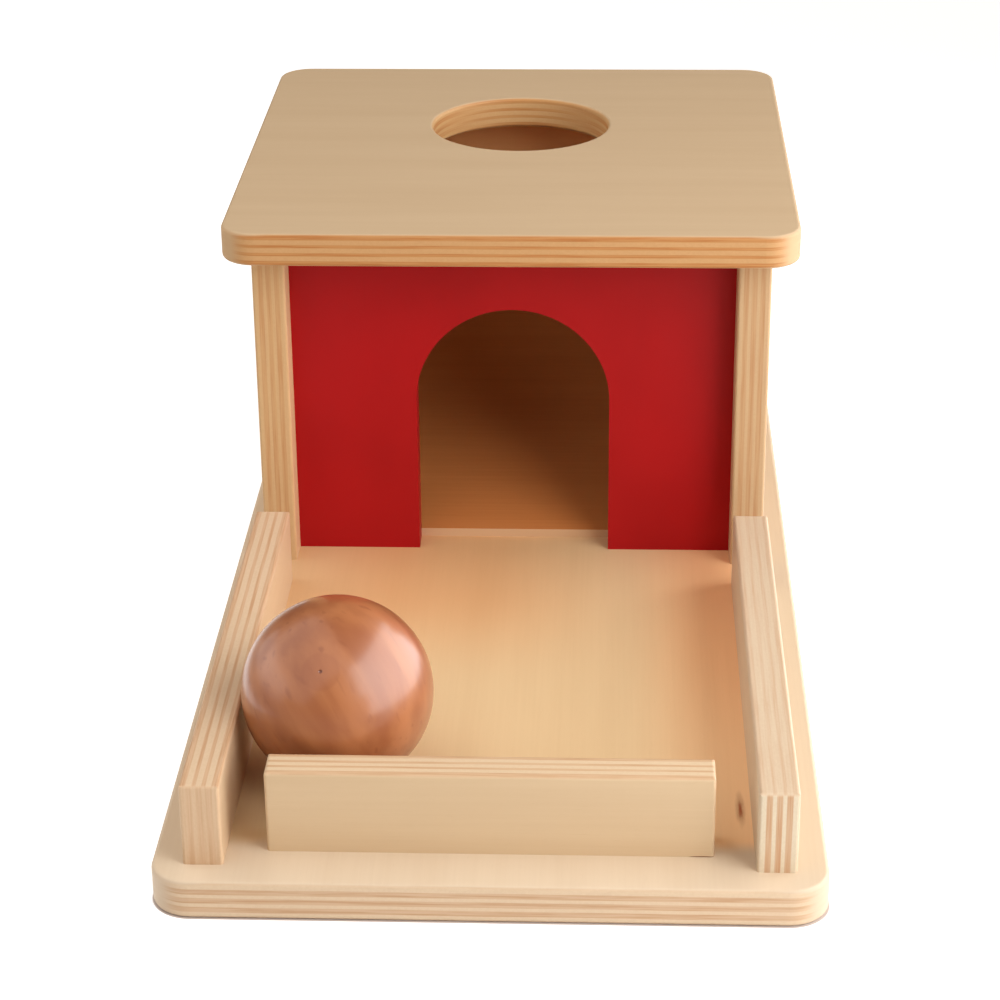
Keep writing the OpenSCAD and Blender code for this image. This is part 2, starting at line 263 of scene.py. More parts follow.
def ply_stripes(tree, board, axes, tones, contrasts, shift):
    """Pale where a ply is cut across its grain and brown, with streaks, where it is cut along it."""
    half_turns = maths(tree, "MULTIPLY", ply_count(tree, board, axes, shift), math.pi)
    wave = maths(tree, "SINE", half_turns)
    start = face_ply_narrower - stripe_softness
    face_ply = ease(tree, wave, start, start + 2 * stripe_softness)
    end_on = facing(tree, axes[0])
    either = maths(tree, "ADD", face_ply, end_on)
    both = maths(tree, "MULTIPLY", face_ply, end_on)
    neither = maths(tree, "SUBTRACT", 1.0, either)
    pale_share = maths(tree, "MULTIPLY_ADD", both, 2.0, neither)
    contrast = rescale(tree, end_on, *contrasts)
    pale_share = maths(tree, "MULTIPLY_ADD", maths(tree, "SUBTRACT", pale_share, 0.5), contrast, 0.5)
    streaks = cloud(tree, grain_space(tree, axes, streak_size, shift), 3.0, 0.6)
    brown = blend(tree, ease(tree, streaks, *streak_limits), tones["streak"], tones["brown"])
    speckle = cloud(tree, grain_space(tree, axes, speckle_size, shift), 2.0, 0.6)
    dull_pale = browner(tones["pale"], speckle_tone_share)
    pale = blend(tree, ease(tree, speckle, *speckle_limits), dull_pale, tones["pale"])
    return blend(tree, pale_share, brown, pale), speckle


# %% The broad faces
band_size = (150, 13, 20)
line_size = (70, 1.1, 3)
pore_size = (5, 0.32, 1)
pore_limits = (0.66, 0.8)
band_share = 0.7
figure_limits = (0.3, 0.7)
figure_tone_share = 0.95
pore_strength_share = 0.1
pore_tone_share = 0.7


def face_veneer(tree, axes, tones, shift):
    """Birch veneer: slow bands, fine lines and short dark pores, all drawn out along the grain."""
    bands = cloud(tree, grain_space(tree, axes, band_size, shift), 3.0, 0.55)
    lines = cloud(tree, grain_space(tree, axes, line_size, shift), 3.0, 0.65)
    pores = ease(tree, cloud(tree, grain_space(tree, axes, pore_size, shift), 1.0, 0.5), *pore_limits)
    figure = ease(tree, weighed(tree, bands, band_share, lines), *figure_limits)
    colour = blend(tree, figure, browner(tones["face"], figure_tone_share), tones["face"])
    pore_share = maths(tree, "MULTIPLY", pores, pore_strength_share)
    return blend(tree, pore_share, colour, browner(tones["face"], pore_tone_share)), lines


# %% The round corners
corner_wash_share = 0.8
corner_start = 72 * mm
corner_end = 80 * mm
corner_turn_limits = (0.04, 0.5)


def washed_corner(tree, stripes, tone):
    """The stripes fade at the round corners, where the edge turns sideways."""
    sideways = point_axes(tree)[0]
    at_side = ease(tree, maths(tree, "ABSOLUTE", sideways), corner_start, corner_end)
    turned = ease(tree, maths(tree, "SUBTRACT", 1.0, facing(tree, "y")), *corner_turn_limits)
    share = maths(tree, "MULTIPLY", maths(tree, "MULTIPLY", at_side, turned), corner_wash_share)
    return blend(tree, share, stripes, tone)


# %% A whole board
lacquer_roughness = (0.38, 0.48)
lacquer_gloss = 0.2
lid_gloss = 0.12
plywood_relief = 0.02
face_limits = (0.3, 0.9)


def plywood(board, axes, tones, contrasts, gloss, shift, marks_and_light):
    """Finishes one board; axes names the axis along the grain, the one across it and the thickness."""
    material, tree = new_finish(board + "_finish")
    edge, speckle = ply_stripes(tree, board, axes, tones, contrasts, shift)
    if "corner" in tones:
        edge = washed_corner(tree, edge, tones["corner"])
    veneer, lines = face_veneer(tree, axes, tones, shift)
    if marks_and_light:
        veneer, edge = marks_and_light(tree, veneer, edge)
    face_share = ease(tree, facing(tree, axes[2]), *face_limits)
    colour = blend(tree, face_share, edge, veneer)
    height = blend(tree, face_share, speckle, lines)
    roughness = rescale(tree, lines, *lacquer_roughness)
    close_finish(tree, colour, roughness, height, plywood_relief, Specular_IOR_Level=gloss)
    dress(board, material)


# %% [markdown]
# ## The boards
# The tray is cut from pale sheets, and the lid and the walls from warmer ones. Each sheet has a tone for its
# broad face and three for the plies of its edges, and the base and the lid have one more for their round
# corners. Boards that differ a little from their kind get a tinted copy of its sheet; only the right rail,
# which differs more, has a whole set of its own. Two copies carry painted light: the right wall's is darker,
# painted shade against the strong light on the right, and the back wall's is warmer, painted bounce light
# inside the box.

# %% Tones of the lacquered birch
def tinted(sheet, red_share, green_share, blue_share):
    """The tones of a sheet of which each colour keeps so much of its strength."""
    shares = (red_share, green_share, blue_share, 1.0)
    return {tone: tuple(c * share for c, share in zip(colour, shares)) for tone, colour in sheet.items()}


base_sheet = {
    "face": screen(229, 199, 154),
    "pale": screen(224, 200, 170),
    "brown": screen(211, 178, 146),
    "streak": screen(196, 155, 118),
    "corner": screen(213, 192, 167),
}
lid_sheet = {
    "face": screen(207, 180, 146),
    "pale": screen(199, 156, 108),
    "brown": screen(190, 137, 86),
    "streak": screen(178, 117, 67),
    "corner": screen(198, 167, 130),
}
wall_sheet = {
    "face": screen(220, 185, 143),
    "pale": screen(213, 180, 136),
    "brown": screen(203, 158, 109),
    "streak": screen(189, 133, 84),
}
# Painted shade: a darker copy of the wall tones for the right wall, against the strong light on the right.
right_wall_painted_shade_sheet = tinted(wall_sheet, 0.89, 0.92, 1.0)
# Painted bounce light: a warmer copy of the wall tones for the back wall inside the box.
back_wall_painted_bounce_sheet = tinted(wall_sheet, 1.05, 0.86, 0.7)
rail_sheet = {
    "face": screen(217, 187, 149),
    "pale": screen(223, 196, 160),
    "brown": screen(212, 174, 136),
    "streak": screen(197, 151, 110),
}
left_rail_sheet = tinted(rail_sheet, 1.0, 1.01, 1.07)
front_rail_sheet = tinted(rail_sheet, 1.0, 1.04, 1.09)
right_rail_sheet = {
    "face": screen(213, 195, 169),
    "pale": screen(224, 210, 185),
    "brown": screen(205, 170, 137),
    "streak": screen(193, 144, 104),
}
print("tones of four kinds of board, the faces from", right_rail_sheet["face"], "to", base_sheet["face"])

# %% [markdown]
# The veneer of the base board doesn't look one even colour, and the difference is painted light that these
# lamps don't give. A paler painted sheen lies on the margin outside the rails, painted light lifts the floor
# along the right rail, and painted warm shade lies on the floor towards the left of the red panel. A tint
# that is multiplied in keeps the figure of the wood, which a new colour over it would hide.

# %% Painted light and shade on the base board
tray_half_width = 75 * mm
tray_front = -159 * mm
# Painted sheen: the margin outside the rails is tinted paler.
margin_painted_sheen = (0.95, 1.05, 1.36, 1.0)
margin_blur = 8 * mm
rail_band = 40 * mm
# Painted light: the floor along the right rail is tinted lighter, warmer towards the back.
right_rail_painted_light_front = (1.3, 1.18, 1.15, 1.0)
right_rail_painted_light_back = (1.25, 1.0, 0.9, 1.0)
right_band_front = -150 * mm
right_band_back = -40 * mm
# Painted shade: the floor towards the left of the red panel is tinted warmer and darker.
panel_painted_shade = (1.0, 0.8, 0.68, 1.0)
panel_band_front = -75 * mm
panel_band_back = -10 * mm
panel_band_left = -15 * mm
panel_band_right = 45 * mm
left_rail_share = 0.45


def tray_painted_light(tree, veneer):
    """Painted light: a paler sheen outside the rails, light along the right one, and warmer shade towards the
    left of the panel.
    """
    sideways, forwards, _ = point_axes(tree)
    beyond_right = maths(tree, "SUBTRACT", sideways, tray_half_width)
    beyond_left = maths(tree, "SUBTRACT", -tray_half_width, sideways)
    beyond_front = maths(tree, "SUBTRACT", tray_front, forwards)
    beyond_side = maths(tree, "MAXIMUM", beyond_left, beyond_right)
    beyond = maths(tree, "MAXIMUM", beyond_side, beyond_front)
    sheen_share = ease(tree, beyond, -margin_blur / 2, margin_blur / 2)
    inside_share = maths(tree, "SUBTRACT", 1.0, sheen_share)
    veneer = tint_by(tree, sheen_share, veneer, margin_painted_sheen)
    towards_box = ease(tree, forwards, right_band_front, right_band_back)
    right_rail_painted_light = blend(tree, towards_box, right_rail_painted_light_front, right_rail_painted_light_back)
    along_right = ease(tree, beyond_right, -rail_band, -margin_blur)
    veneer = tint_by(tree, maths(tree, "MULTIPLY", along_right, inside_share), veneer, right_rail_painted_light)
    near_panel = ease(tree, forwards, panel_band_front, panel_band_back)
    on_left = ease(tree, sideways, panel_band_right, panel_band_left)
    along_left = ease(tree, beyond_left, -rail_band, -margin_blur)
    off_left_rail = rescale(tree, along_left, 1.0, left_rail_share)
    panel_shade_share = maths(tree, "MULTIPLY", maths(tree, "MULTIPLY", near_panel, on_left), off_left_rail)
    return tint_by(tree, maths(tree, "MULTIPLY", panel_shade_share, inside_share), veneer, panel_painted_shade)


# %% [markdown]
# The base board has one small pin knot beside the right rail, near its front end, a mark that
# makes the board look like a real piece of wood. It is a stretched spot of brown in a lighter
# ring, and noise along the grain makes its rim uneven.

# %% The pin knot of the base board
knot_place = Vector((67.7, -139.5, 11.0)) * mm
knot_half_sizes = (0.8 * mm, 5.0 * mm, 5.0 * mm)
knot_halo = screen(214, 168, 126)
knot_brown = screen(168, 96, 62)
knot_halo_limits = (2.2, 0.6)
knot_limits = (1.0, 0.25)
knot_rim_size = (4, 0.7, 2)
knot_unevenness = 0.9
knot_shift = 5.0


def spot_distance(tree, place, half_sizes):
    """How far a point lies from a spot, where 1 is the rim of an ellipsoid of these half sizes."""
    away = vector_maths(tree, "SUBTRACT", point(tree), place)[0]
    stretch = [1 / half for half in half_sizes]
    scaled = vector_maths(tree, "MULTIPLY", away, stretch)[0]
    return vector_maths(tree, "LENGTH", scaled)["Value"]


def base_knot_and_painted_light(tree, veneer, edge):
    # Painted light and shade on the tray floor first, then the pin knot.
    veneer = tray_painted_light(tree, veneer)
    rough = cloud(tree, grain_space(tree, "yxz", knot_rim_size, knot_shift))
    uneven = maths(tree, "MULTIPLY", maths(tree, "SUBTRACT", rough, 0.5), knot_unevenness)
    rim = maths(tree, "ADD", spot_distance(tree, knot_place, knot_half_sizes), uneven)
    veneer = blend(tree, ease(tree, rim, *knot_halo_limits), veneer, knot_halo)
    return blend(tree, ease(tree, rim, *knot_limits), veneer, knot_brown), edge


# %% [markdown]
# Two smaller marks sit on the rails: a grey fleck at the left rail's front corner, and a dark line of painted
# shade in the gap under the front rail's right end, where the glue has opened. Both are spots like the knot,
# squeezed flat until they are a fleck and a line.

# %% A fleck and a painted shadow line on the rails
corner_fleck_grey = screen(150, 130, 114)
corner_fleck_place = Vector((-80.6, -171.3, 34.6)) * mm
corner_fleck_half_sizes = (1.3 * mm, 0.5 * mm, 0.3 * mm)
corner_fleck_limits = (1.0, 0.6)
# Painted shade: the dark line in the gap under the front rail's right end.
gap_shadow_brown = screen(130, 82, 48)
gap_shadow_place = Vector((56.5, -163.9, 11.0)) * mm
gap_shadow_half_sizes = (4.2 * mm, 1.0 * mm, 0.35 * mm)
gap_shadow_limits = (1.0, 0.7)


def left_rail_fleck(tree, veneer, edge):
    corner_fleck = ease(tree, spot_distance(tree, corner_fleck_place, corner_fleck_half_sizes), *corner_fleck_limits)
    return blend(tree, corner_fleck, veneer, corner_fleck_grey), blend(tree, corner_fleck, edge, corner_fleck_grey)


# Painted shade: darkens the gap under the front rail's right end.
def front_rail_gap_shadow(tree, veneer, edge):
    line = ease(tree, spot_distance(tree, gap_shadow_place, gap_shadow_half_sizes), *gap_shadow_limits)
    return blend(tree, line, veneer, gap_shadow_brown), blend(tree, line, edge, gap_shadow_brown)


# %% [markdown]
# The wall of the drop hole, and the top of the back wall that shows through it, get painted light: both are
# tinted paler than the rest of their boards. A spot around the hole picks out its wall, and a step in height
# picks out the top of the back wall, and both get a tint.

# %% Painted light at the hole and on the back wall
hole_middle = Vector((0.0, 112.0, 123.4)) * mm
hole_half_sizes = (36 * mm, 36 * mm, 40 * mm)
hole_limits = (1.1, 0.95)
# Painted light on the wall of the hole.
hole_painted_light = (1.1, 1.17, 1.2, 1.0)
# Painted light on the top of the back wall.
painted_light_top_start = 78 * mm
painted_light_top_end = 92 * mm
painted_light_top_tint = (1.34, 1.22, 1.1, 1.0)


def lid_painted_light(tree, veneer, edge):
    """Painted light: the wall of the hole is tinted paler than the lid's outer edge."""
    inside = ease(tree, spot_distance(tree, hole_middle, hole_half_sizes), *hole_limits)
    return veneer, tint_by(tree, inside, edge, hole_painted_light)


def back_wall_painted_light(tree, veneer, edge):
    """Painted light: the top of the back wall is tinted paler than the part behind the ramp."""
    height = point_axes(tree)[2]
    return tint_by(tree, ease(tree, height, painted_light_top_start, painted_light_top_end), veneer, painted_light_top_tint), edge


# %% [markdown]
# Now every board is dressed in one loop. Each gets its own shift through the noise, so that no
# two show the same figure, and its own grain direction: along the tray for the base, the side
# rails and the side walls, and across it for the lid, the back wall and the front rail.

# %% Dress the boards
shift_step = 13.7
boards = {
    "base_board": ("yxz", base_sheet, (0.8, 0.9)),
    "left_wall": ("yzx", wall_sheet, (0.5, 0.5)),
    "right_wall": ("yzx", right_wall_painted_shade_sheet, (0.5, 0.5)),
    "back_wall": ("xzy", back_wall_painted_bounce_sheet, (0.5, 0.5)),
    "top_plate": ("xyz", lid_sheet, (1.0, 1.0)),
    "left_rail": ("yzx", left_rail_sheet, (0.8, 0.3)),
    "right_rail": ("yzx", right_rail_sheet, (0.2, 0.85)),
    "front_rail": ("xzy", front_rail_sheet, (0.8, 0.8)),
}
# Marks of each board, and the painted light and shade on the base, the lid and the back wall.
board_marks_and_light = {
    "base_board": base_knot_and_painted_light,
    "back_wall": back_wall_painted_light,
    "left_rail": left_rail_fleck,
    "front_rail": front_rail_gap_shadow,
    "top_plate": lid_painted_light,
}
for number, (board, (axes, tones, contrasts)) in enumerate(boards.items(), start=1):
    gloss = lid_gloss if board == "top_plate" else lacquer_gloss
    plywood(board, axes, tones, contrasts, gloss, shift_step * number, board_marks_and_light.get(board))
print("plywood on", ", ".join(boards))

# %% [markdown]
# ## Red panel
# The panel with the doorway is plywood too, but under an even red paint of low gloss. Paint
# hides the stripes and leaves a faint upright grain and the soft ripple of a brushed coat, so
# the colour barely changes and the relief does the work.

# %% Red satin paint
deep_red = screen(163, 11, 17)
bright_red = screen(170, 13, 19)
grain_red = screen(150, 10, 15)
panel_axes = "zxy"
ripple_size = (9, 2.2, 4)
paint_grain_size = (40, 0.9, 3)
paint_patch_size = (45, 30, 30)
paint_grain_limits = (0.6, 0.8)
paint_grain_share = 0.25
ripple_share = 0.7
paint_roughness = (0.4, 0.5)
paint_gloss = 0.2
paint_relief = 0.02


def red_paint():
    material, tree = new_finish("red_paint")
    ripple = cloud(tree, grain_space(tree, panel_axes, ripple_size, 3.1), 2.0, 0.5)
    grain = cloud(tree, grain_space(tree, panel_axes, paint_grain_size, 8.4), 3.0, 0.6)
    patches = cloud(tree, grain_space(tree, panel_axes, paint_patch_size, 5.2), 2.0, 0.5)
    colour = blend(tree, ease(tree, patches, *figure_limits), deep_red, bright_red)
    grain_share = maths(tree, "MULTIPLY", ease(tree, grain, *paint_grain_limits), paint_grain_share)
    colour = blend(tree, grain_share, colour, grain_red)
    height = weighed(tree, ripple, ripple_share, grain)
    roughness = rescale(tree, ripple, *paint_roughness)
    close_finish(tree, colour, roughness, height, paint_relief, Specular_IOR_Level=paint_gloss)
    return material


dress("front_panel", red_paint())
print("red paint on the front panel")

# %% [markdown]
# ## Inside the box
# The ramp is a thin board, browner than the birch, that shows through the doorway. Its face is
# told from its pale edges by how squarely the surface looks up along the ramp's own slope.

# %% The ramp
ramp_slope = math.radians(15)
ramp_up = Vector((0.0, -math.sin(ramp_slope), math.cos(ramp_slope)))
ramp_brown = screen(201, 127, 70)
ramp_tone_share = 0.92
ramp_band_size = (120, 11, 11)
ramp_line_size = (60, 1.0, 1.0)
ramp_band_share = 0.5
ramp_figure_limits = (0.32, 0.68)
ramp_face_limits = (0.7, 0.95)
ramp_roughness = (0.42, 0.52)
ramp_relief = 0.02
ramp_shift = 127.0


def ramp_plywood():
    material, tree = new_finish("ramp_plywood")
    bands = cloud(tree, grain_space(tree, "xyz", ramp_band_size, ramp_shift), 3.0, 0.55)
    lines = cloud(tree, grain_space(tree, "xyz", ramp_line_size, ramp_shift), 3.0, 0.65)
    figure = ease(tree, weighed(tree, bands, ramp_band_share, lines), *ramp_figure_limits)
    face = blend(tree, figure, browner(ramp_brown, ramp_tone_share), ramp_brown)
    upwards = maths(tree, "ABSOLUTE", dot(tree, surface_normal(tree), ramp_up))
    colour = blend(tree, ease(tree, upwards, *ramp_face_limits), rail_sheet["brown"], face)
    roughness = rescale(tree, lines, *ramp_roughness)
    close_finish(tree, colour, roughness, lines, ramp_relief, Specular_IOR_Level=lid_gloss)
    return material


dress("ramp_board", ramp_plywood())
print("brown plywood on the ramp, sloped by", round(math.degrees(ramp_slope), 1), "degrees")

# %% [markdown]
# The batten under the ramp is a planed strip of pine. Pine has wide growth lines, pale wood of
# spring beside browner wood of late summer. A sine of slow noise draws such lines: the noise
# stands for the distance from the heart of the tree, and each turn of the sine for a year.

# %% The batten
batten_axes = "xzy"
spring_wood = screen(232, 204, 160)
summer_wood = screen(205, 150, 96)
pine_fibre = screen(222, 184, 136)
ring_size = (160, 9, 9)
ring_turns = 60.0
ring_limits = (0.2, 1.0)
summer_share = 0.6
pine_fibre_size = (30, 0.5, 0.5)
pine_fibre_share = 0.3
pine_roughness = (0.5, 0.68)
pine_relief = 0.03


def pine():
    material, tree = new_finish("batten_pine")
    age = cloud(tree, grain_space(tree, batten_axes, ring_size, 2.3))
    rings = maths(tree, "SINE", maths(tree, "MULTIPLY", age, ring_turns))
    fibres = cloud(tree, grain_space(tree, batten_axes, pine_fibre_size, 6.6), 3.0, 0.6)
    late_share = maths(tree, "MULTIPLY", ease(tree, rings, *ring_limits), summer_share)
    colour = blend(tree, late_share, spring_wood, summer_wood)
    colour = blend(tree, maths(tree, "MULTIPLY", fibres, pine_fibre_share), colour, pine_fibre)
    close_finish(tree, colour, rescale(tree, fibres, *pine_roughness), fibres, pine_relief)
    return material


dress("ramp_batten", pine())
print("pine on the batten")

# %% [markdown]
# ## The ball
# The ball was turned on a lathe from a reddish hardwood and varnished. The solid ball is coarse
# and perfectly round, while the real one is smooth, has slight hollows that bend its
# reflections, and keeps the prick of the lathe's centre at its pole. So a finer mesh takes its
# place: rings of points from pole to pole, pushed in by a little noise.

# %% Measure the ball and plan its rings
ball_low, ball_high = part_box("ball")
ball_centre = (ball_low + ball_high) / 2
ball_radius = (ball_high.z - ball_low.z) / 2
ball_pole = Vector((-0.08, -0.76, 0.64)).normalized()
ball_columns = 160
ball_rings = 100
first_even_ring = 3
prick_radius = 0.65 * mm
prick_depth = 0.35 * mm
prick_angle = prick_radius / ball_radius
prick_steps = 6
hollow_depth = 0.05 * mm
hollow_pitch = 2.6


def turned_radius(angle, direction):
    """The ball's radius in one direction, so many radians from the pole."""
    hollows = hollow_depth * (noise.noise(direction * hollow_pitch) - 0.5)
    inside = max(0.0, 1 - angle / prick_angle)
    prick = prick_depth * inside * inside * (3 - 2 * inside)
    return ball_radius - hollow_depth + hollows - prick


print("ball of radius", round(ball_radius / mm, 2), "mm at", tuple(ball_centre))


# %% Turn a finer ball
def turned_ball():
    near_pole = [prick_angle * step / prick_steps for step in range(1, prick_steps + 1)]
    even = [math.pi * ring / ball_rings for ring in range(first_even_ring, ball_rings)]
    turn = Vector((0, 0, 1)).rotation_difference(ball_pole)
    shape = bmesh.new()

    def place(angle, column):
        around = 2 * math.pi * column / ball_columns
        out = math.sin(angle)
        direction = turn @ Vector((out * math.cos(around), out * math.sin(around), math.cos(angle)))
        return shape.verts.new(ball_centre + direction * turned_radius(angle, direction))

    top = place(0, 0)
    rows = [[place(angle, column) for column in range(ball_columns)] for angle in near_pole + even]
    bottom = place(math.pi, 0)
    for column in range(ball_columns):
        after = (column + 1) % ball_columns
        shape.faces.new((top, rows[0][column], rows[0][after]))
        shape.faces.new((rows[-1][column], bottom, rows[-1][after]))
        for upper, lower in zip(rows, rows[1:]):
            shape.faces.new((upper[column], lower[column], lower[after], upper[after]))
    for face in shape.faces:
        face.smooth = True
    mesh = bpy.data.meshes.new("turned_ball")
    shape.to_mesh(mesh)
    shape.free()
    return mesh


ball = bpy.data.objects.new("turned_ball", turned_ball())
scene.collection.objects.link(ball)
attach(ball, "ball")
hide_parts("ball")
print("turned ball of", len(ball.data.polygons), "faces")

# %% [markdown]
# The wood of the ball is close-grained, with slow bands of growth and short dark flecks that
# all run one way through it. The flecks are noise drawn out along the grain; because the noise
# fills space, they look right all round the ball. A clear coat gives the varnish its shine.

# %% Grain and pole of the ball
ball_grain = Vector((0.53, -0.36, -0.76)).normalized()
ball_side = ball_grain.cross(Vector((0.0, 0.0, 1.0))).normalized()
ball_rise = ball_grain.cross(ball_side)


def ball_space(tree, along, across, shift):
    """The point in units of so many millimetres along and across the ball's grain."""
    place = point(tree)
    parts = {}
    for slot, (axis, length) in enumerate(((ball_grain, along), (ball_side, across), (ball_rise, across))):
        parts[slot] = maths(tree, "ADD", dot(tree, place, axis / (length * mm)), shift)
    return add_node(tree, "ShaderNodeCombineXYZ", parts).outputs[0]


def off_pole(tree):
    """The cosine of the angle between a point of the ball and its pole."""
    away = vector_maths(tree, "SUBTRACT", point(tree), ball_centre)[0]
    return dot(tree, vector_maths(tree, "NORMALIZE", away)[0], ball_pole)


print("grain of the ball along", tuple(ball_grain))

# %% Varnished hardwood
dark_growth = screen(159, 92, 54)
light_growth = screen(182, 114, 70)
growth_share = 0.9
fleck_brown = screen(125, 60, 34)
fleck_limits = (0.64, 0.84)
fleck_share = 0.4
pole_brown = screen(145, 76, 46)
pole_share = 0.25
pole_disc_angle = 5.8 * mm / ball_radius
pole_rim_share = 0.8
prick_brown = screen(128, 70, 46)
prick_rim_share = 0.6
ball_roughness = (0.35, 0.45)
ball_relief = 0.002
varnish = {"Coat_Weight": 0.9, "Coat_Roughness": 0.22, "Specular_IOR_Level": 0.4}


def hardwood():
    material, tree = new_finish("turned_hardwood")
    growth = cloud(tree, ball_space(tree, 40, 7, 4.0), 1.5, 0.5)
    fibres = cloud(tree, ball_space(tree, 14, 1.2, 9.0), 2.0, 0.5)
    flecks = ease(tree, cloud(tree, ball_space(tree, 10.0, 2.0, 15.0), 0.5, 0.5), *fleck_limits)
    figure = ease(tree, weighed(tree, growth, growth_share, fibres), *figure_limits)
    colour = blend(tree, figure, dark_growth, light_growth)
    colour = blend(tree, maths(tree, "MULTIPLY", flecks, fleck_share), colour, fleck_brown)
    near_pole = off_pole(tree)
    disc = ease(tree, near_pole, math.cos(pole_disc_angle), math.cos(pole_disc_angle * pole_rim_share))
    colour = blend(tree, maths(tree, "MULTIPLY", disc, pole_share), colour, pole_brown)
    prick = ease(tree, near_pole, math.cos(prick_angle), math.cos(prick_angle * prick_rim_share))
    colour = blend(tree, prick, colour, prick_brown)
    close_finish(tree, colour, rescale(tree, fibres, *ball_roughness), fibres, ball_relief, **varnish)
    return material


ball.data.materials.append(hardwood())
print("varnished hardwood on the ball")

# %% [markdown]
# ## Fasteners
# The screws under the base are zinc-plated steel, the pins in the ramp are steel that has been
# browned so that they don't catch the eye through the doorway, and the dowels are beech. Most of
# them are out of sight, but the screw heads show when the toy is turned over.

# %% Plated and browned steel
scratch_size = (0.5, 0.5, 0.12)
bloom_size = (2, 2, 2)
steel_roughness = (0.24, 0.42)
steel_relief = 0.006


def steel(name, dull, bright):
    material, tree = new_finish(name)
    scratches = cloud(tree, grain_space(tree, "xyz", scratch_size, 1.7), 3.0, 0.6)
    bloom = cloud(tree, grain_space(tree, "xyz", bloom_size, 4.2))
    colour = blend(tree, ease(tree, bloom, *figure_limits), dull, bright)
    roughness = rescale(tree, scratches, *steel_roughness)
    close_finish(tree, colour, roughness, scratches, steel_relief, Metallic=1.0)
    return material


zinc_steel = steel("zinc_steel", screen(196, 197, 196), screen(222, 221, 214))
browned_steel = steel("browned_steel", screen(84, 50, 30), screen(104, 64, 38))
print("made", zinc_steel.name, "and", browned_steel.name)

# %% Beech
dull_beech = screen(214, 172, 130)
pale_beech = screen(232, 198, 158)
ray_brown = screen(176, 120, 80)
ray_size = (1.6, 0.3, 0.3)
ray_limits = (0.6, 0.74)
ray_share = 0.5
beech_fibre_size = (12, 0.6, 0.6)
beech_roughness = (0.5, 0.66)
beech_relief = 0.02


def beech():
    material, tree = new_finish("beech_dowel")
    rays = ease(tree, cloud(tree, grain_space(tree, "zxy", ray_size, 2.9)), *ray_limits)
    fibres = cloud(tree, grain_space(tree, "zxy", beech_fibre_size, 7.1), 3.0, 0.6)
    colour = blend(tree, fibres, dull_beech, pale_beech)
    colour = blend(tree, maths(tree, "MULTIPLY", rays, ray_share), colour, ray_brown)
    close_finish(tree, colour, rescale(tree, fibres, *beech_roughness), fibres, beech_relief)
    return material


# %% Dress the fasteners
finishes = {"zinc_steel": zinc_steel, "beech_dowel": beech()}
for subpart in frame["record"]["subparts"]:
    if subpart["material_slot"] in finishes:
        dress(subpart["node"], finishes[subpart["material_slot"]])
dress("ramp_pins", browned_steel)
print("steel and beech on the fasteners")

# %% [markdown]
# ## Floor and surroundings
# The toy stands on white paper that runs on past the picture. Lighting paper to pure white would burn out the
# pale wood, so the paper glows a little for the camera and for reflections only, while the light it throws
# back on the toy comes from its own white colour. Right beside the base the glow stops and the paper's colour
# is painted darker, so the thin line of shade where the toy touches the paper is partly painted shade.

# %% What is seen directly, and what lies beside the base
contact_start = 0.1 * mm
contact_end = 0.6 * mm
base_corner = 11 * mm


def seen_directly(tree):
    """One for rays from the camera, from gloss and through glass, and nothing for scattered light."""
    path = add_node(tree, "ShaderNodeLightPath").outputs
    gloss = maths(tree, "MAXIMUM", path["Is Glossy Ray"], path["Is Transmission Ray"])
    return maths(tree, "MAXIMUM", path["Is Camera Ray"], gloss)


def beside_base(tree):
    """Nothing under the base board, rising to one a hair's breadth beside its rounded outline."""
    low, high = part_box("base_board")
    middle = ((low.x + high.x) / 2, (low.y + high.y) / 2, 0.0)
    half = ((high.x - low.x) / 2 - base_corner, (high.y - low.y) / 2 - base_corner, 0.0)
    away = vector_maths(tree, "SUBTRACT", point(tree), middle)[0]
    away = vector_maths(tree, "ABSOLUTE", away)[0]
    away = vector_maths(tree, "SUBTRACT", away, half)[0]
    away = vector_maths(tree, "MAXIMUM", away, (0.0, 0.0, 0.0))[0]
    distance = vector_maths(tree, "LENGTH", away)["Value"]
    return ease(tree, distance, base_corner + contact_start, base_corner + contact_end)


# %% White paper floor
floor_half = 3.0
floor_glow = 0.55
far_start = 0.6
far_end = 1.6
paper_white = screen(240, 240, 240)
# Painted shade: the paper's colour in the thin contact line beside the base.
painted_contact_shade = screen(205, 192, 186)


def white_paper():
    material, tree = new_finish("white_paper")
    open_share = beside_base(tree)
    # The paper is painted darker in the contact line beside the base.
    tone = blend(tree, open_share, painted_contact_shade, paper_white)
    paper = add_node(tree, "ShaderNodeBsdfDiffuse", {"Color": tone}).outputs[0]
    reach = vector_maths(tree, "LENGTH", point(tree))["Value"]
    glow_by_reach = rescale(tree, ease(tree, reach, far_start, far_end), floor_glow, 1.0)
    open_glow = maths(tree, "MULTIPLY", open_share, glow_by_reach)
    strength = maths(tree, "MULTIPLY", seen_directly(tree), open_glow)
    glow = add_node(tree, "ShaderNodeEmission", {"Strength": strength}).outputs[0]
    both = add_node(tree, "ShaderNodeAddShader", {0: paper, 1: glow}).outputs[0]
    add_node(tree, "ShaderNodeOutputMaterial", {"Surface": both})
    return material


def flat(left, front, right, back, height):
    """The corners of a level sheet."""
    return [(left, front, height), (right, front, height), (right, back, height), (left, back, height)]


floor_mesh = bpy.data.meshes.new("paper_floor")
floor_corners = flat(-floor_half, -floor_half, floor_half, floor_half, 0.0)
floor_mesh.from_pydata(floor_corners, [], [(0, 1, 2, 3)])
floor_mesh.materials.append(white_paper())
floor = bpy.data.objects.new("paper_floor", floor_mesh)
scene.collection.objects.link(floor)
print("paper floor", 2 * floor_half, "m square")

# %% [markdown]
# The surroundings do two jobs as well. To the camera and to reflections they are plain white,
# like the paper, while the weak light that they scatter into the shadows is warm.

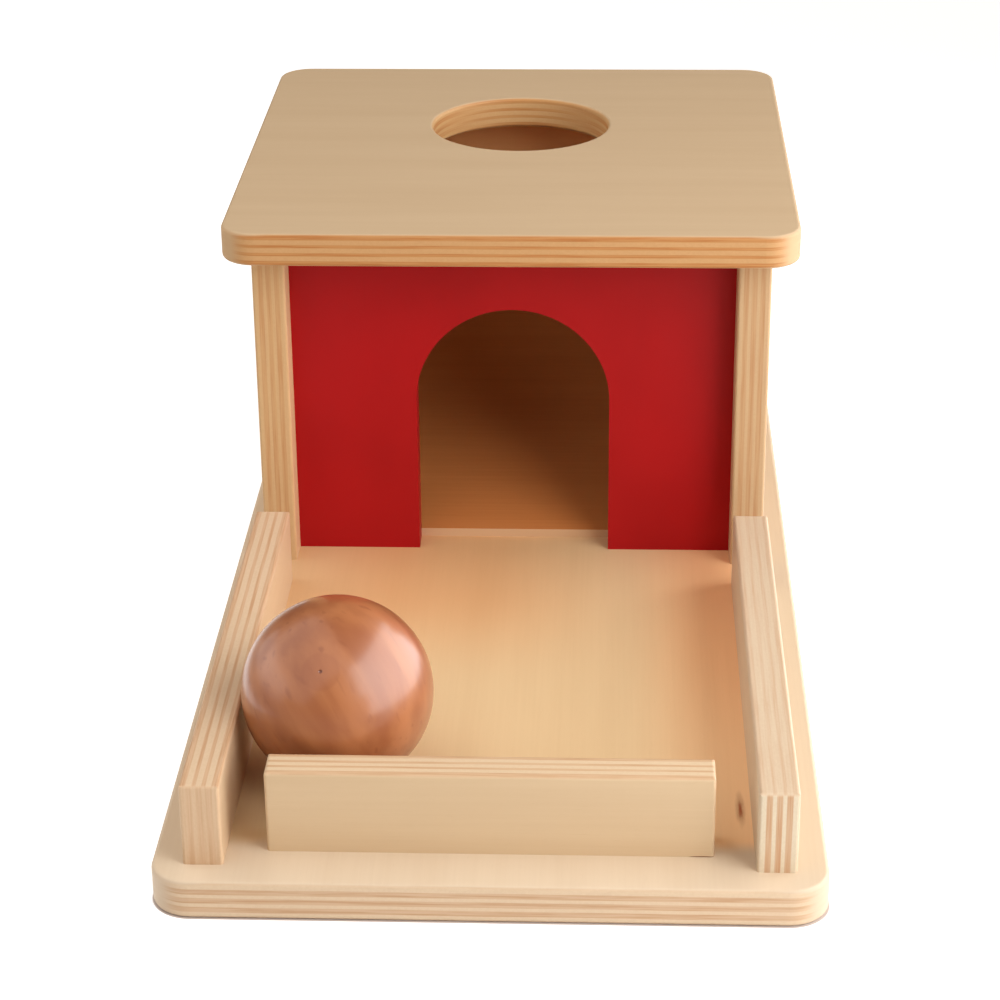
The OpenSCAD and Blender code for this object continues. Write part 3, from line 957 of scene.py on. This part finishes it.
# %% White surroundings
ambient = 0.23
ambient_tone = (1.0, 0.84, 0.66, 1.0)
surroundings_white = (1.0, 1.0, 1.0, 1.0)

world = bpy.data.worlds.new("studio")
world.use_nodes = True
sky = world.node_tree
sky.nodes.clear()
direct = seen_directly(sky)
strength = rescale(sky, direct, ambient, 1.0)
tone = blend(sky, direct, ambient_tone, surroundings_white)
background = add_node(sky, "ShaderNodeBackground", {"Color": tone, "Strength": strength})
add_node(sky, "ShaderNodeOutputWorld", {"Surface": background.outputs[0]})
scene.world = world
print("surroundings light the toy at", ambient)

# %% [markdown]
# ## Lamps
# The shadows of the rails and the reflections on the ball show how the toy was lit: softly, from
# both sides, with the stronger light on the right. Five area lamps stand for it. Large lamps give
# the soft edges of the shadows. Three of them only brighten the wood and are hidden from
# reflections, so that the varnish doesn't show more lights than it should.

# %% Hang the soft boxes
def soft_box(name, place, aim, width, height, watts, in_reflections=True):
    light = bpy.data.lights.new(name, "AREA")
    light.shape = "RECTANGLE"
    light.size = width
    light.size_y = height
    light.energy = watts
    lamp = bpy.data.objects.new(name, light)
    lamp.location = place
    lamp.rotation_euler = (Vector(aim) - Vector(place)).to_track_quat("-Z", "Y").to_euler()
    lamp.visible_camera = False
    lamp.visible_glossy = in_reflections
    scene.collection.objects.link(lamp)
    print(name, "of", watts, "watts at", place)


toy_middle = (0.0, 0.0, 0.05)
left_edge = (-0.178, 0.006, 0.0065)
far_left = (-0.62, 0.06, 0.38)
soft_box("key_box", (0.5, -0.53, 0.53), toy_middle, width=0.5, height=0.55, watts=2.55)
soft_box("right_wall_box", (0.36, -0.14, 0.38), far_left, 0.72, 0.76, watts=3.2, in_reflections=False)
soft_box("right_strip", (1.0, -0.1, 0.25), toy_middle, 1.5, 0.45, watts=3.0, in_reflections=False)
soft_box("left_roof", (-0.55, -0.18, 0.57), left_edge, width=1.5, height=1.25, watts=4.6)
soft_box("left_back", (-0.9, 0.4, 0.8), toy_middle, 1.2, 1.2, watts=3.3, in_reflections=False)

# %% [markdown]
# White surroundings would put a milky veil on the ball all round. The varnish has darker parts beside its
# bright reflections, because the room around the toy was unlit, and one tall bright patch on its right. Both
# are painted reflections: dark sheets above, before and behind the toy stand for the room, two greyer ones on
# the floor dim the paper, and a glowing panel paints the patch. Only reflections see these sheets, so they
# neither light the toy nor take light away from it.

# %% A sheet for reflections only
def reflected_sheet(name, corners, colour, glow):
    mesh = bpy.data.meshes.new(name)
    mesh.from_pydata(corners, [], [(0, 1, 2, 3)])
    material, tree = new_finish(name)
    surface = add_node(tree, "ShaderNodeEmission", {"Color": colour, "Strength": glow}).outputs[0]
    add_node(tree, "ShaderNodeOutputMaterial", {"Surface": surface})
    mesh.materials.append(material)
    sheet = bpy.data.objects.new(name, mesh)
    sheet.visible_camera = False
    sheet.visible_diffuse = False
    sheet.visible_shadow = False
    scene.collection.objects.link(sheet)


def standing(start, end, top):
    """The corners of an upright sheet that stands on the floor."""
    return [(*start, 0.0), (*end, 0.0), (*end, top), (*start, top)]


# %% Hang the painted reflections: dark sheets and a bright panel
sheet_edge = 2.6
sheet_height = 1.3
sheet_front = -1.5
floor_sheet_front_edge = -0.22
floor_sheet_left_edge = -0.2
hair = 1 * mm
# Painted reflections: dark sheets for the unlit room, greyer ones on the floor, and a glowing panel for the
# bright patch on the ball.
dark_reflection_grey = screen(60, 56, 52)
floor_reflection_grey = screen(176, 160, 144)
dark_reflection_glow = 1.0
bright_reflection_corners = standing((0.29, -0.49), (0.58, 0.92), top=0.65)
bright_reflection_glow = 3.8

dark_reflections = {
    "dark_reflection_above": flat(-sheet_edge, -sheet_edge, sheet_edge, sheet_edge, sheet_height),
    "dark_reflection_in_front": standing((-sheet_edge, sheet_front), (sheet_edge, sheet_front), sheet_height),
    "dark_reflection_behind": standing((-sheet_edge, sheet_edge), (sheet_edge, sheet_edge), sheet_height),
    "grey_reflection_on_front_floor": flat(-sheet_edge, sheet_front, sheet_edge, floor_sheet_front_edge, hair),
    "grey_reflection_on_left_floor": flat(-sheet_edge, floor_sheet_front_edge, floor_sheet_left_edge, sheet_edge, hair),
}
for name, corners in dark_reflections.items():
    tone = floor_reflection_grey if name.endswith("floor") else dark_reflection_grey
    reflected_sheet(name, corners, tone, dark_reflection_glow)
reflected_sheet("painted_bright_reflection", bright_reflection_corners, surroundings_white, bright_reflection_glow)
print(len(dark_reflections), "cloths and one bright panel for the reflections")
